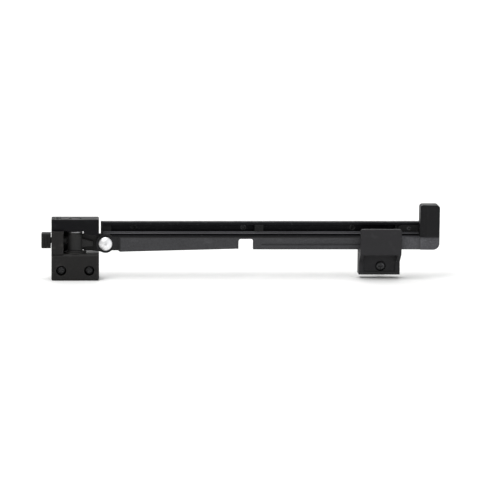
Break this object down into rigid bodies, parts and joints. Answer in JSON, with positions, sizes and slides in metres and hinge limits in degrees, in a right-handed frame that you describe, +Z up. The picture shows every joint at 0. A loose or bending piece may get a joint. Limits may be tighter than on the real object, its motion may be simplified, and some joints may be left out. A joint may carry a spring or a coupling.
{
  "type": "friction stay hinge",
  "caption": "Black stay for a push-out window: frame bracket with friction swivel, riveted notched arm, L-shaped elbow, keeper, and a friction shoe in a sash track, shut.",
  "frame": {"origin": "on the wall plane (the frame bracket's back face), midway between the bracket's two frame screws", "axes": "+X along the sill from the bracket towards the elbow, +Y out of the room through the window, +Z up; the stay is shut"},
  "size_m": [0.2856, 0.0345, 0.0543],
  "materials": {
    "coated_bracket": "satin black powder coat on a zinc casting",
    "coated_arm": "worn satin charcoal powder coat on a zinc casting",
    "coated_elbow": "grained black powder coat on a zinc casting",
    "keeper_nylon": "matte moulded nylon",
    "black_nylon": "matte moulded nylon",
    "black_screw": "black zinc-plated steel",
    "zinc_steel": "zinc-plated steel",
    "spring_steel": "spring steel",
    "bright_rivet": "bright rolled aluminium",
    "black_anodised": "black anodised extrusion"
  },
  "bodies": {
    "frame_side": {"bracket_body": "coated_bracket", "bracket_cap": "coated_bracket", "cap_screws": "black_screw", "swivel_pin": "zinc_steel", "friction_washer_lower": "black_nylon", "friction_washer_upper": "black_nylon", "cone_spring_washer": "spring_steel", "frame_screws": "black_screw", "lock_spring": "spring_steel", "keeper": "keeper_nylon", "keeper_screw": "black_screw", "keeper_spring": "spring_steel"},
    "lock": {"lock_slide": "black_nylon"},
    "swivel": {"swivel_knuckle": "coated_arm", "swivel_bush": "black_nylon"},
    "arm": {"stay_arm": "coated_arm", "arm_rivet": "bright_rivet", "arm_friction_washer": "black_nylon", "rivet_back_washer": "zinc_steel"},
    "elbow": {"elbow_grip": "coated_elbow", "elbow_pin": "black_screw", "shoe_stud": "zinc_steel"},
    "shoe": {"friction_shoe": "black_nylon", "tension_screw": "zinc_steel", "brake_pad": "black_nylon"},
    "track": {"sash_track": "black_anodised", "track_screws": "black_screw", "track_cap_left": "black_nylon", "track_cap_right": "black_nylon", "travel_stop": "black_nylon"}
  },
  "joints": [
    {"name": "swing", "type": "hinge", "parent": "frame_side", "child": "swivel", "pos_m": [0, -0.0125, 0.02], "axis": [0, 0, 1], "range_deg": [0, 55]},
    {"name": "arm_tilt", "type": "hinge", "parent": "swivel", "child": "arm", "pos_m": [0.0216, -0.0125, 0.0187], "axis": [0, -1, 0], "range_deg": [0, 12]},
    {"name": "elbow_turn", "type": "hinge", "parent": "arm", "child": "elbow", "pos_m": [0.218, -0.0125, 0.02], "axis": [0, 0, 1], "range_deg": [-55, 0]},
    {"name": "shoe_level", "type": "hinge", "parent": "elbow", "child": "shoe", "pos_m": [0.2528, -0.006, 0.0289], "axis": [0, -1, 0], "range_deg": [-12, 0]},
    {"name": "track_slide", "type": "slide", "parent": "shoe", "child": "track", "axis": [1, 0, 0], "range_m": [0, 0.095]},
    {"name": "lock_pull", "type": "slide", "parent": "frame_side", "child": "lock", "axis": [-1, 0, 0], "range_m": [0, 0.0022], "stiffness_N_per_m": 300, "springref_m": -0.005, "deforming": ["lock_spring"]}
  ],
  "couplings": [
    {"joint": "elbow_turn", "follows": "swing", "ratio": -1},
    {"joint": "shoe_level", "follows": "arm_tilt", "ratio": -1}
  ]
}
